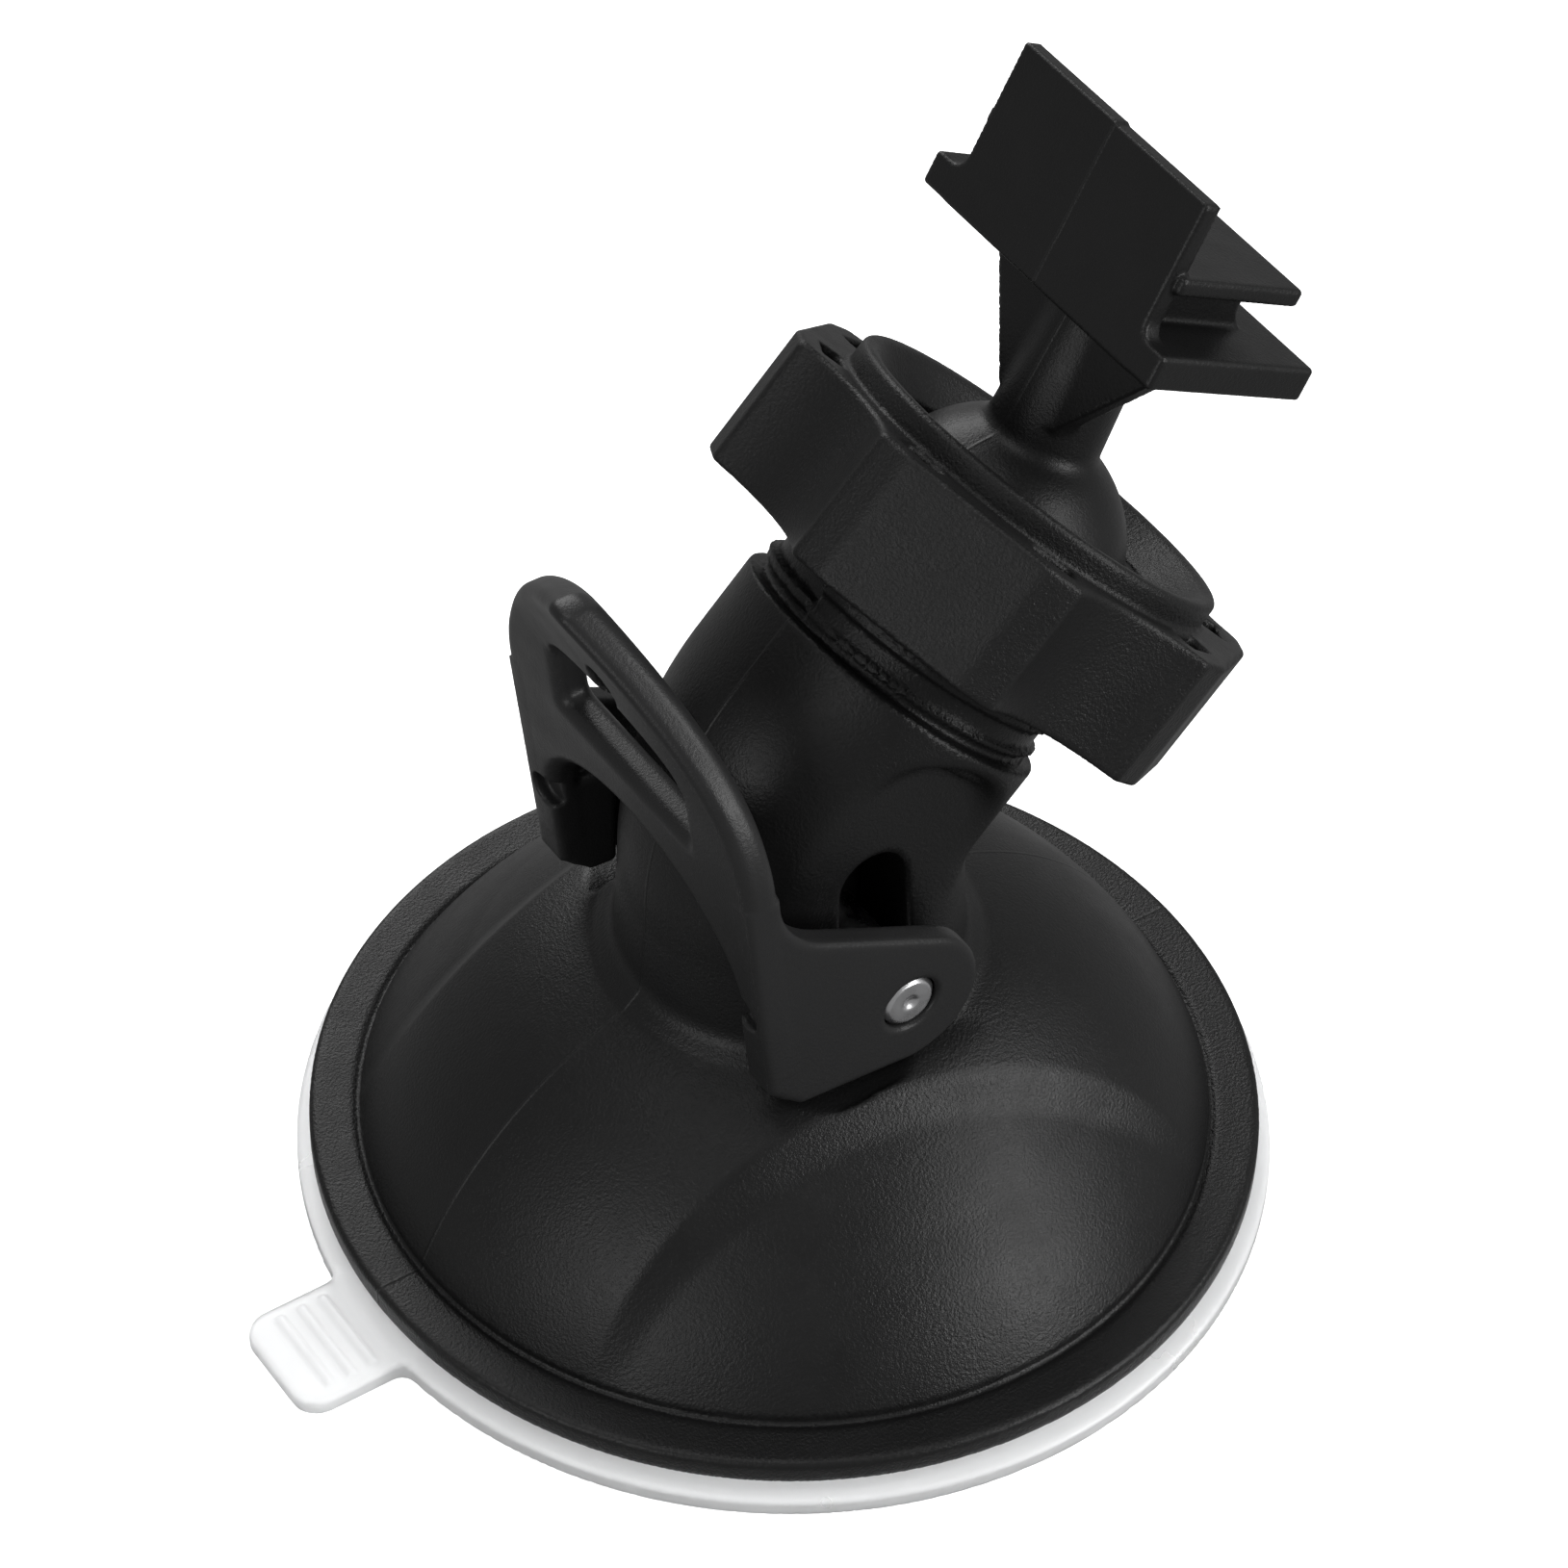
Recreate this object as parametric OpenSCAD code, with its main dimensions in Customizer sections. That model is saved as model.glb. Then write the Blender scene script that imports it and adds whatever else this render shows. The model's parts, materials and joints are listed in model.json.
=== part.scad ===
// Suction-cup windscreen mount for a dash camera: a vacuum foot worked by a cam
// lever, a tilted neck with a ball clamp, and a T-rail head for the camera.
// Millimetres. +Z up, origin at the centre of the suction face, -X towards the
// pull tab and the lever, +X the way the neck leans, pivot pin along Y.

/* [Suction membrane] */
// Radius of the membrane
membrane_r = 34; // [33.5:0.1:36]
// Thickness of the membrane
membrane_t = 1.3; // [1:0.1:1.5]
// How far the pull tab reaches from the centre
tab_reach = 41.3; // [38:0.1:46]
// Width of the pull tab
tab_w = 9; // [6:0.5:12]

/* [Housing] */
// Outer radius of the rim
rim_r = 33; // [32.5:0.1:33.4]
// Height of the rim's lower edge above the suction face
rim_low_z = 2.1; // [1.8:0.1:2.3]
// Height of the rim's upper edge
rim_top_z = 4.1; // [3.8:0.1:4.4]
// Radius of the groove between rim and dome
groove_r = 29.6; // [29.4:0.1:29.8]
// Radius of the dome's arc
dome_r = 28.1; // [27.9:0.1:28.2]
// Distance of the arc's centre from the axis
dome_off = 3.5; // [3.4:0.1:3.6]
// Depth of the arc's centre below the suction face
dome_drop = 6.2; // [6.1:0.1:6.3]
// Wall thickness of the dome
dome_wall = 2.8; // [2.4:0.1:3.2]
// Outer radius of the neck and the tilted tube
neck_r = 11.6; // [11.4:0.1:11.7]
// Half width of the raised band between the two side cheeks of the dome
band_half_w = 16; // [15.8:0.1:17]
// Turn of the cheeks towards the pull tab
cheek_turn = 8; // [0:1:12]
// Depth of the side cheeks below the raised band
cheek_depth = 1.2; // [0.8:0.1:1.3]

/* [Ball clamp] */
// Tilt of the tube from vertical
tube_tilt = 45; // [43:1:47]
// Radius of the ball
ball_r = 9.1; // [9:0.05:9.2]
// Height of the nut along its axis
nut_h = 9.75; // [9:0.25:10]
// Radius to the corners of the four grip lobes
lobe_r = 18.4; // [18:0.1:19]
// Height of the raised lip ring on the nut
lip_h = 1.9; // [1.5:0.1:2.2]

/* [Rail head] */
// Tilt of the stem from vertical
stem_tilt = 28.6; // [26:0.2:31]
// Width of the stop plate
plate_w = 19.3; // [18:0.1:20]
// Height of the stop plate above the flange
plate_h = 9.5; // [8:0.1:11]
// Width of the flange
flange_w = 24.3; // [22:0.5:26]
// Depth of the flange
flange_d = 14.2; // [13:0.1:15]
// Width of the rail's cap
cap_w = 20.7; // [20:0.1:21]

/* [Cam lever] */
// Height of the pivot pin with the lever up
pin_z = 25.8; // [25.6:0.1:26]
// Radius of the pivot pin
pin_r = 2; // [1.8:0.05:2.1]
// Height of the tip of the handle
lever_top_z = 59.6; // [56:0.2:62]
// Thickness of the handle
lever_t = 2.7; // [2.4:0.1:2.8]
// Half width over the two ears
ear_outer_y = 14.3; // [14:0.1:14.6]
// Thickness of each ear
ear_t = 2; // [1.8:0.1:2.1]

/* [Spring] */
// Wire radius of the return spring
wire_r = 0.5; // [0.4:0.05:0.6]
// Turns of the return spring
spring_turns = 5; // [4:1:6]

/* [Hidden] */

round_fn = 96;
blend_fn = 32;
slack = 0.3;
eps = 0.05;
far = 80;

// --- derived places -------------------------------------------------------
// corner where the tube's axis meets the neck's axis
elbow_corner_z = 33.7;
elbow_bend_r = 12;
elbow_tangent = elbow_bend_r * tan(tube_tilt / 2);
// heights along the tube's axis, counted from the elbow corner
tube_end_s = 10.8;
nut_low_s = 15.3;
nut_top_s = nut_low_s + nut_h;
ball_s = nut_top_s - 4;
collet_top_s = nut_top_s - 0.4;

thread_r = 10.9;
thread_ridge = 0.35;
thread_pitch = 1.6;
socket_gap = 0.08;
nut_bore_r = thread_r + thread_ridge + 0.15;

stud_bore_r = 5.1;
stud_r = 4.7;
stud_top_z = 30.4;
bore_top_z = 36.3;
slot_w = 5;
slot_low_z = 21.2;
slot_top_z = 35.4;
disc_r = 20;
disc_low_z = membrane_t + slack;
disc_t = 2;
disc_top_z = disc_low_z + disc_t;
spring_low_z = disc_top_z + eps;
spring_top_z = 14.9;
spring_coil_r = 6.6;
spring_seat_z = spring_top_z + eps;

pin_fit = 0.05;
pin_half_l = ear_outer_y - 0.2;
ear_inner_y = ear_outer_y - ear_t;
lever_lean = 0.125;
lever_front_x = -12.4;
lever_front_z = 34.7;
flare_start_z = 46;
flare_rate = 0.019;
ear_end_r = 5.3;
lever_low_z = 22.3;
leg_inner_y = 11.2;
heel_z = 21.1;
scoop_y = 9.7;
heel_x = -9.95;
heel_front_z = 24.3;
well_z = 18.95;

// --- shared shapes ---------------------------------------------------------
// front surface of the lever's handle at height z: a straight lean, then a flared tip
function lever_x(z) = lever_front_x - lever_lean * (z - lever_front_z)
    - flare_rate * pow(max(0, z - flare_start_z), 2);

module along_tube(s = 0) {
    translate([0, 0, elbow_corner_z])
        rotate([0, tube_tilt, 0])
            translate([0, 0, s])
                children();
}

module both_sides() {
    children();
    mirror([0, 1, 0])
        children();
}

// --- suction membrane -------------------------------------------------------
module suction_membrane() {
    corner_r = 2.2;
    ribs = 3;
    rib_w = 0.5;
    rib_h = 0.25;
    rib_l = 7;
    rib_x = -38.7;
    rib_pitch = 1.65;
    root = 2;
    color([0.9, 0.91, 0.92]) {
        cylinder(h = membrane_t, r = membrane_r, $fn = round_fn);
        // pull tab with rounded corners
        translate([-tab_reach + corner_r, -tab_w / 2, 0])
            cube([tab_reach - corner_r - membrane_r + root, tab_w, membrane_t]);
        translate([-tab_reach, -tab_w / 2 + corner_r, 0])
            cube([corner_r + eps, tab_w - 2 * corner_r, membrane_t]);
        for (side = [-1, 1])
            translate([-tab_reach + corner_r, side * (tab_w / 2 - corner_r), 0])
                cylinder(h = membrane_t, r = corner_r, $fn = round_fn);
        // grip ribs across the tab
        for (i = [0:ribs - 1])
            translate([rib_x + i * rib_pitch, -rib_l / 2, membrane_t - eps])
                cube([rib_w, rib_l, rib_h + eps]);
    }
}

// --- pull stud: stiff disc, ribs and post with the pin's eye ------------------
module pull_stud() {
    ribs = 6;
    rib_t = 1.4;
    rib_h = 2.2;
    rib_low_r = 9.5;
    rib_high_r = disc_r - 1;
    color([0.1, 0.1, 0.1])
        difference() {
            union() {
                translate([0, 0, disc_low_z])
                    cylinder(h = disc_t, r = disc_r, $fn = round_fn);
                translate([0, 0, disc_low_z])
                    cylinder(h = stud_top_z - disc_low_z, r = stud_r, $fn = round_fn);
                for (i = [0:ribs - 1])
                    rotate([0, 0, (i + 0.5) * 360 / ribs])
                        translate([rib_low_r, -rib_t / 2, disc_low_z])
                            cube([rib_high_r - rib_low_r, rib_t, disc_t + rib_h]);
            }
            translate([0, far, pin_z])
                rotate([90, 0, 0])
                    cylinder(h = 2 * far, r = pin_r + 0.01, $fn = round_fn);
        }
}

// --- return spring, between the disc and a seat under the dome --------------------
module return_spring() {
    sides = 8;
    ring_steps = 20;
    ground_turns = 0.75;
    total = spring_turns * ring_steps;
    low = spring_low_z + wire_r;
    rise = spring_top_z - spring_low_z - 2 * wire_r;
    free_turns = spring_turns - 2 * ground_turns;
    function height(turn) = low + rise * min(1, max(0, (turn - ground_turns) / free_turns));
    function ring(i) = let (a = 360 * i / ring_steps, z = height(i / ring_steps))
        [for (k = [0:sides - 1]) let (b = 360 * k / sides, r = spring_coil_r + wire_r * cos(b))
            [r * cos(a), r * sin(a), z + wire_r * sin(b)]];
    points = [for (i = [0:total]) each ring(i)];
    walls = [for (i = [0:total - 1], k = [0:sides - 1])
        let (n = (k + 1) % sides)
        [i * sides + k, i * sides + n, (i + 1) * sides + n, (i + 1) * sides + k]];
    first = [for (k = [sides - 1:-1:0]) k];
    last = [for (k = [0:sides - 1]) total * sides + k];
    color([0.7, 0.71, 0.73])
        polyhedron(points = points, faces = concat([first], walls, [last]));
}

// --- housing --------------------------------------------------------------------
// section of the dome: an arc of the given radius, closed towards the axis
module dome_section(r, low_z) {
    intersection() {
        union() {
            translate([dome_off, -dome_drop])
                circle(r = r, $fn = round_fn);
            translate([0, -dome_drop])
                square([dome_off, r]);
        }
        translate([0, low_z])
            square([far, far]);
    }
}

// rim with broken edges, a groove against the dome and a foot ring on the membrane
module rim_section() {
    edge = 0.35;
    inner_r = 27.4;
    foot_r = 28.6;
    foot_z = membrane_t + eps;
    groove_z = rim_top_z - 0.4;
    polygon([[inner_r, foot_z], [foot_r, foot_z], [foot_r, rim_low_z], [rim_r - edge, rim_low_z],
             [rim_r, rim_low_z + edge], [rim_r, rim_top_z - edge], [rim_r - edge, rim_top_z],
             [groove_r + 0.5, rim_top_z], [groove_r + 0.1, groove_z], [inner_r, groove_z]]);
}

// everything inside the sloping near side of the raised band
module band_side() {
    band_slope = 12;
    band_z = 19.3;
    rotate([0, 0, -cheek_turn])
        translate([0, -band_half_w, band_z])
            rotate([-band_slope, 0, 0])
                translate([-far, 0, -far])
                    cube([2 * far, 2 * far, 2 * far]);
}

// full-height dome inside the raised band, lower dome outside it
module dome_solid() {
    intersection() {
        rotate_extrude($fn = round_fn)
            dome_section(dome_r, rim_low_z);
        mirror([0, 1, 0])
            band_side();
        band_side();
    }
    rotate_extrude($fn = round_fn)
        dome_section(dome_r - cheek_depth, rim_low_z);
    rotate_extrude($fn = round_fn)
        rim_section();
}

// hollow under the dome
module dome_hollow() {
    rotate_extrude($fn = round_fn)
        dome_section(dome_r - dome_wall, 0);
}

// boss under the crown of the dome that the spring bears on
module spring_seat() {
    boss_h = 5;
    boss_r = 9;
    translate([0, 0, spring_seat_z])
        cylinder(h = boss_h, r = boss_r, $fn = round_fn);
}

// vertical neck with a flared foot, the bend, and the tilted tube
module neck_solid() {
    bend_z = elbow_corner_z - elbow_tangent;
    lap = 0.1;
    // the bend stands this much proud of the two straight lengths
    proud = 0.1;
    tilted_lap = lap / cos(tube_tilt);
    cylinder(h = bend_z, r = neck_r, $fn = round_fn);
    intersection() {
        translate([elbow_bend_r, 0, bend_z])
            rotate([90, 0, 0])
                rotate_extrude($fn = round_fn)
                    translate([elbow_bend_r, 0])
                        circle(r = neck_r + proud, $fn = round_fn);
        rotate([90, 0, 0])
            translate([0, 0, -far])
                linear_extrude(2 * far)
                    polygon([[elbow_bend_r + (lap + tilted_lap) / tan(tube_tilt), bend_z - lap],
                             [-far, bend_z - lap],
                             [-far, bend_z + tilted_lap + (elbow_bend_r + far) * tan(tube_tilt)]]);
    }
    along_tube(elbow_tangent)
        cylinder(h = tube_end_s - elbow_tangent, r = neck_r, $fn = round_fn);
    rotate_extrude($fn = round_fn)
        polygon([[0, 18], [14, 18], [14, 19.8], [13.2, 20.7], [12.5, 21.4], [neck_r, 22.6], [0, 22.6]]);
}

// threaded collet that closes on the ball
module collet_solid() {
    turns = 6;
    tip_h = 2.4;
    along_tube(tube_end_s - 1)
        cylinder(h = collet_top_s - tip_h - tube_end_s + 1 + eps, r = thread_r, $fn = round_fn);
    along_tube(collet_top_s - tip_h)
        cylinder(h = tip_h, r1 = thread_r, r2 = thread_r - 0.5, $fn = round_fn);
    for (i = [0:turns - 1])
        along_tube(tube_end_s + 1.3 + i * thread_pitch)
            rotate_extrude($fn = round_fn)
                polygon([[thread_r - 1, -0.5], [thread_r, -0.5], [thread_r + thread_ridge, -0.15],
                         [thread_r + thread_ridge, 0.15], [thread_r, 0.5], [thread_r - 1, 0.5]]);
}

// ball socket, seat-pad well and the slits that make the collet's jaws
module socket_hollow() {
    slit_w = 2.6;
    slits = 4;
    slit_depth = 5;
    well_r = 6.4;
    well_low_s = ball_s - ball_r - 1.4;
    along_tube(ball_s)
        sphere(r = ball_r + socket_gap, $fn = round_fn);
    along_tube(well_low_s)
        cylinder(h = 5, r = well_r, $fn = round_fn);
    along_tube(ball_s - slit_depth)
        for (i = [0:slits / 2 - 1])
            rotate([0, 0, i * 360 / slits])
                translate([-far / 2, -slit_w / 2, 0])
                    cube([far, slit_w, far]);
}

// hollowed sides of the neck and bend, room for the lever's ears
module side_scoops() {
    round_r = 5.5;
    half_w = 5.4;
    foot_half_w = 8;
    foot_h = 8;
    low_z = well_z + 1;
    round_s = 4.2;
    both_sides()
        translate([0, -scoop_y, 0])
            rotate([90, 0, 0])
                linear_extrude(far) {
                    translate([-foot_half_w, low_z])
                        square([2 * foot_half_w, foot_h]);
                    translate([-half_w, low_z])
                        square([2 * half_w, elbow_corner_z - low_z]);
                    translate([0, elbow_corner_z])
                        circle(r = round_r, $fn = round_fn);
                    translate([0, elbow_corner_z])
                        rotate(-tube_tilt) {
                            translate([-half_w, 0])
                                square([2 * half_w, round_s]);
                            translate([0, round_s])
                                circle(r = round_r, $fn = round_fn);
                        }
                }
}

// slot in which the pivot pin rises
module pin_slot() {
    round_z = slot_top_z - slot_w / 2;
    translate([-slot_w / 2, -far, slot_low_z])
        cube([slot_w, 2 * far, round_z - slot_low_z]);
    translate([0, far, round_z])
        rotate([90, 0, 0])
            cylinder(h = 2 * far, r = slot_w / 2, $fn = round_fn);
}

// shallow curved wells in the dome where the heels of the cams sweep past
module cam_wells() {
    well_r = 14;
    well_x = -4.3;
    well_half_l = 7.5;
    well_h = 4;
    well_w = ear_outer_y + slack - scoop_y;
    both_sides()
        intersection() {
            translate([well_x, -scoop_y, well_z + well_r])
                rotate([90, 0, 0])
                    cylinder(h = well_w, r = well_r, $fn = round_fn);
            translate([well_x - well_half_l, -scoop_y - well_w, well_z])
                cube([2 * well_half_l, well_w, well_h]);
        }
}

module base_housing() {
    color([0.12, 0.12, 0.12])
        difference() {
            union() {
                difference() {
                    union() {
                        dome_solid();
                        neck_solid();
                    }
                    side_scoops();
                    cam_wells();
                    dome_hollow();
                }
                spring_seat();
                collet_solid();
            }
            cylinder(h = bore_top_z, r = stud_bore_r, $fn = round_fn);
            socket_hollow();
            pin_slot();
        }
}

// --- cam lever ---------------------------------------------------------------------
// side profile of the handle: chamfered foot, front surface, then back surface
module handle_side() {
    steps = 12;
    front_span = lever_top_z + 1 - heel_front_z;
    back_span = lever_top_z + 1 - lever_low_z;
    polygon(concat([[heel_x, lever_low_z]],
                   [for (i = [0:steps]) let (z = heel_front_z + front_span * i / steps)
                       [lever_x(z), z]],
                   [for (i = [steps:-1:0]) let (z = lever_low_z + back_span * i / steps)
                       [lever_x(z) + lever_t, z]]));
}

// outline seen from the front, with the arch for the neck and the window
module handle_outline() {
    shoulder_z = 42;
    arch_h = lever_top_z - shoulder_z;
    half_w = ear_outer_y;
    tip_share = 0.93;
    tip_slope = 2 * half_w * tip_share / arch_h;
    tip_half_w = half_w * (1 - tip_share * tip_share);
    tip_r = tip_half_w * norm([1, tip_slope]);
    tip_z = shoulder_z + arch_h * tip_share - tip_half_w * tip_slope;
    curve = [for (i = [0:15]) let (t = tip_share * i / 15)
        [half_w * (1 - t * t), shoulder_z + arch_h * t]];
    inner_z = 30;
    inner_h = 8.3;
    window_half_w = 7.6;
    window_low_z = 42.6;
    window_high_z = 47.2;
    window_rise = 2.1;
    difference() {
        union() {
            translate([-half_w, lever_low_z])
                square([2 * half_w, shoulder_z - lever_low_z]);
            polygon(concat(curve, [for (i = [15:-1:0]) [-curve[i].x, curve[i].y]]));
            translate([0, tip_z])
                circle(r = tip_r, $fn = round_fn);
        }
        polygon(concat([[leg_inner_y, 0]],
                       [for (i = [0:16]) let (a = 180 * i / 16)
                           [leg_inner_y * cos(a), inner_z + inner_h * sin(a)]],
                       [[-leg_inner_y, 0]]));
        translate([-window_half_w, window_low_z])
            square([2 * window_half_w, window_high_z - window_low_z]);
        polygon([for (i = [0:12]) let (a = 180 * i / 12)
            [window_half_w * cos(a), window_high_z - eps + window_rise * sin(a)]]);
    }
}

// side profile of one ear
module ear_profile() {
    difference() {
        union() {
            translate([0, pin_z])
                circle(r = ear_end_r, $fn = round_fn);
            polygon([[heel_x, lever_low_z], [-8.6, heel_z], [0, pin_z - ear_end_r],
                     [2.4, pin_z + 4.7], [-7.2, 36], [-8.9, 37.6], [lever_x(40) + lever_t, 40],
                     [lever_x(40), 40], [lever_x(heel_front_z), heel_front_z]]);
        }
        translate([0, pin_z])
            circle(r = pin_r + pin_fit, $fn = round_fn);
    }
}

module cam_lever() {
    heel_inner_x = 7;
    heel_h = 6;
    color([0.12, 0.12, 0.12]) {
        intersection() {
            rotate([90, 0, 0])
                translate([0, 0, -far])
                    linear_extrude(2 * far)
                        handle_side();
            rotate([90, 0, 90])
                translate([0, 0, -far])
                    linear_extrude(2 * far)
                        handle_outline();
        }
        both_sides() {
            translate([0, -ear_inner_y, 0])
                rotate([90, 0, 0])
                    linear_extrude(ear_t)
                        ear_profile();
            // thicker heel, in line with the handle's legs
            translate([0, -leg_inner_y, 0])
                rotate([90, 0, 0])
                    linear_extrude(ear_outer_y - leg_inner_y)
                        intersection() {
                            ear_profile();
                            translate([-far, heel_z])
                                square([far - heel_inner_x, heel_h]);
                        }
        }
    }
}

module pivot_pin() {
    color([0.75, 0.76, 0.78])
        translate([0, pin_half_l, pin_z])
            rotate([90, 0, 0])
                cylinder(h = 2 * pin_half_l, r = pin_r, $fn = round_fn);
}

// --- lock nut ---------------------------------------------------------------------
// four grip lobes with chamfered corners and hollowed flutes between
module lobe_outline() {
    face_half = 17.35;
    shoulder_half = 25.75;
    flute_r = 15.4;
    polygon([for (k = [0:3]) let (mid = 90 * k)
        each concat([lobe_r * [cos(mid - shoulder_half), sin(mid - shoulder_half)],
                     lobe_r * [cos(mid - face_half), sin(mid - face_half)],
                     lobe_r * [cos(mid + face_half), sin(mid + face_half)],
                     lobe_r * [cos(mid + shoulder_half), sin(mid + shoulder_half)]],
                    [for (i = [1:5]) let (a = mid + shoulder_half + i * (90 - 2 * shoulder_half) / 6,
                                          f = sin(180 * i / 6))
                        (lobe_r * 0.96 - (lobe_r * 0.96 - flute_r) * f) * [cos(a), sin(a)]])]);
}

module lock_nut() {
    lobe_phase = 212;
    lip_r = 14.3;
    mouth_r = 13.1;
    throat_r = 10.95;
    pocket_depth = 6;
    pocket_r = 16.6;
    pocket_w = 5.8;
    pocket_turn = 13.5;
    color([0.12, 0.12, 0.12])
        difference() {
            union() {
                along_tube(nut_low_s)
                    rotate([0, 0, lobe_phase])
                        linear_extrude(nut_h)
                            lobe_outline();
                along_tube(nut_low_s)
                    cylinder(h = nut_h + lip_h, r = lip_r, $fn = round_fn);
            }
            // threaded bore, jaw cone, throat and flared mouth
            along_tube(0)
                rotate_extrude($fn = round_fn)
                    polygon([[0, nut_low_s - 1], [nut_bore_r, nut_low_s - 1],
                             [nut_bore_r, collet_top_s - 2.2],
                             [throat_r, collet_top_s], [throat_r, nut_top_s - 0.3],
                             [mouth_r, nut_top_s + lip_h - 0.3], [mouth_r, nut_top_s + lip_h + 1],
                             [0, nut_top_s + lip_h + 1]]);
            // weight-saving pockets between the lip ring and the lobes
            for (k = [0:3])
                along_tube(nut_top_s - pocket_depth)
                    rotate([0, 0, lobe_phase + 90 * k])
                        for (side = [-1, 1])
                            rotate([0, 0, side * pocket_turn])
                                intersection() {
                                    difference() {
                                        cylinder(h = far, r = pocket_r, $fn = round_fn);
                                        translate([0, 0, -1])
                                            cylinder(h = far + 2, r = lip_r + 0.1, $fn = round_fn);
                                    }
                                    translate([0, -pocket_w / 2, 0])
                                        cube([far, pocket_w, far]);
                                }
        }
}

// --- friction pad under the ball -----------------------------------------------------
module ball_seat_pad() {
    pad_r = 6.2;
    pad_t = 2.6;
    pad_low_s = ball_s - ball_r - 1.1;
    color([0.2, 0.2, 0.2])
        difference() {
            along_tube(pad_low_s)
                cylinder(h = pad_t, r = pad_r, $fn = round_fn);
            along_tube(ball_s)
                sphere(r = ball_r + 0.02, $fn = round_fn);
        }
}

// --- rail head: ball, stem with gussets, flange, stop plate, web and cap ---------------------
module rail_head() {
    front_x = -7.85;
    flange_top = 21.7;
    flange_t = 2.4;
    plate_t = 1.5;
    cap_low = flange_top + 3.2;
    cap_t = 1.25;
    cap_d = 11.8;
    web_w = 17.4;
    web_d = 11.2;
    stem_low_r = 3.9;
    stem_high_r = 3.4;
    stem_h = flange_top - flange_t - ball_r + 1.5;
    gusset_x = -2.2;
    rib_t = 1.5;
    color([0.12, 0.12, 0.12])
        along_tube(ball_s)
            rotate([0, stem_tilt - tube_tilt, 0]) {
                sphere(r = ball_r, $fn = round_fn);
                translate([0, 0, ball_r - 1])
                    cylinder(h = stem_h, r1 = stem_low_r, r2 = stem_high_r, $fn = round_fn);
                translate([front_x, -flange_w / 2, flange_top - flange_t])
                    cube([flange_d, flange_w, flange_t]);
                translate([front_x, -plate_w / 2, flange_top - eps])
                    cube([plate_t, plate_w, plate_h + eps]);
                translate([front_x + plate_t - eps, -web_w / 2, flange_top - eps])
                    cube([web_d - plate_t, web_w, cap_low - flange_top + 2 * eps]);
                translate([front_x + plate_t - eps, -cap_w / 2, cap_low])
                    cube([cap_d - plate_t, cap_w, cap_t]);
                // two thin gussets from the flange's front corners down to the stem
                for (side = [0, 1])
                    mirror([0, side, 0])
                        translate([gusset_x + rib_t / 2, 0, 0])
                            rotate([90, 0, -90])
                                linear_extrude(rib_t)
                                    polygon([[0, 10.3], [3.1, 10.5], [9.9, flange_top - flange_t + eps],
                                             [0, flange_top - flange_t + eps]]);
            }
}

suction_membrane();
pull_stud();
return_spring();
base_housing();
cam_lever();
pivot_pin();
lock_nut();
ball_seat_pad();
rail_head();
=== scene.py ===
"""Looks of the suction-cup windscreen mount.

Every visible moulding is a distance field with rounded edges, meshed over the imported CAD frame.
Fields work in millimetres; the meshes are made in metres.
"""
import json
import math

import bpy
import numpy as np
from mathutils import Matrix, Vector


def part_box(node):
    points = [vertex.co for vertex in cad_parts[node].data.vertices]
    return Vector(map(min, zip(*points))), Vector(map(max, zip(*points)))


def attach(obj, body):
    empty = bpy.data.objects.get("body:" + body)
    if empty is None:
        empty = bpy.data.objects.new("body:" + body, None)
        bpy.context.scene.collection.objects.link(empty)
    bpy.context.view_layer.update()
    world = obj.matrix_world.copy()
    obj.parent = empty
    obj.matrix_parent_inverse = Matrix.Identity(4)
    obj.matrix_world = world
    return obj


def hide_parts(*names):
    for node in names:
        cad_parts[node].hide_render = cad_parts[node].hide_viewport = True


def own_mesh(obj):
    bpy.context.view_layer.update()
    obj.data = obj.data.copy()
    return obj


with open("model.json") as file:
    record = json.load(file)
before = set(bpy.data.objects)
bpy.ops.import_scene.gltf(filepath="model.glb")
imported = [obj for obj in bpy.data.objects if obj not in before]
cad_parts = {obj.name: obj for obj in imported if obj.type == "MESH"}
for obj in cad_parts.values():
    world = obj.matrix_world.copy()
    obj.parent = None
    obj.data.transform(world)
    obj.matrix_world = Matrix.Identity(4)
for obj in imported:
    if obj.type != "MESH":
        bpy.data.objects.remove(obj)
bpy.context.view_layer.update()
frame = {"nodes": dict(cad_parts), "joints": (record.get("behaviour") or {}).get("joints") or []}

MM = 0.001

# ---------------------------------------------------------------- places, in mm
pin_low, pin_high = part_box("pivot_pin")
PIN_Z = (pin_low.z + pin_high.z) / 2 / MM
PIN_R = (pin_high.z - pin_low.z) / 2 / MM
PIN_Y = pin_high.y / MM
joints = {j["name"]: j for j in frame["joints"]}
BALL = np.array(joints["ball_tilt"]["pos_m"]) / MM
BALL_R = 9.1
TUBE_TILT = math.radians(45)
STEM_TILT = math.radians(28.6)
# height at which the tube's axis meets the neck's, and places along the tube from there
ELBOW_Z = 33.7
TUBE_END = 10.85
NUT_LOW, NUT_TOP, LIP_TOP = 15.3, 25.05, 26.95
COLLET_TOP = NUT_TOP - 0.4
BALL_S = BALL[0] / math.sin(TUBE_TILT)


# ---------------------------------------------------------------- distance-field helpers
def smin(a, b, k):
    """Union with a blend about k wide."""
    h = np.clip(0.5 + 0.5 * (b - a) / k, 0, 1)
    return b + (a - b) * h - k * h * (1 - h)


def smax(a, b, k):
    """Intersection with a blend about k wide."""
    return -smin(-a, -b, k)


def box2(x, y, hx, hy, r=0.0):
    """Rectangle of half sizes hx, hy with corners rounded by r."""
    qx, qy = np.abs(x) - hx + r, np.abs(y) - hy + r
    return np.hypot(np.maximum(qx, 0), np.maximum(qy, 0)) + np.minimum(np.maximum(qx, qy), 0) - r


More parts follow.
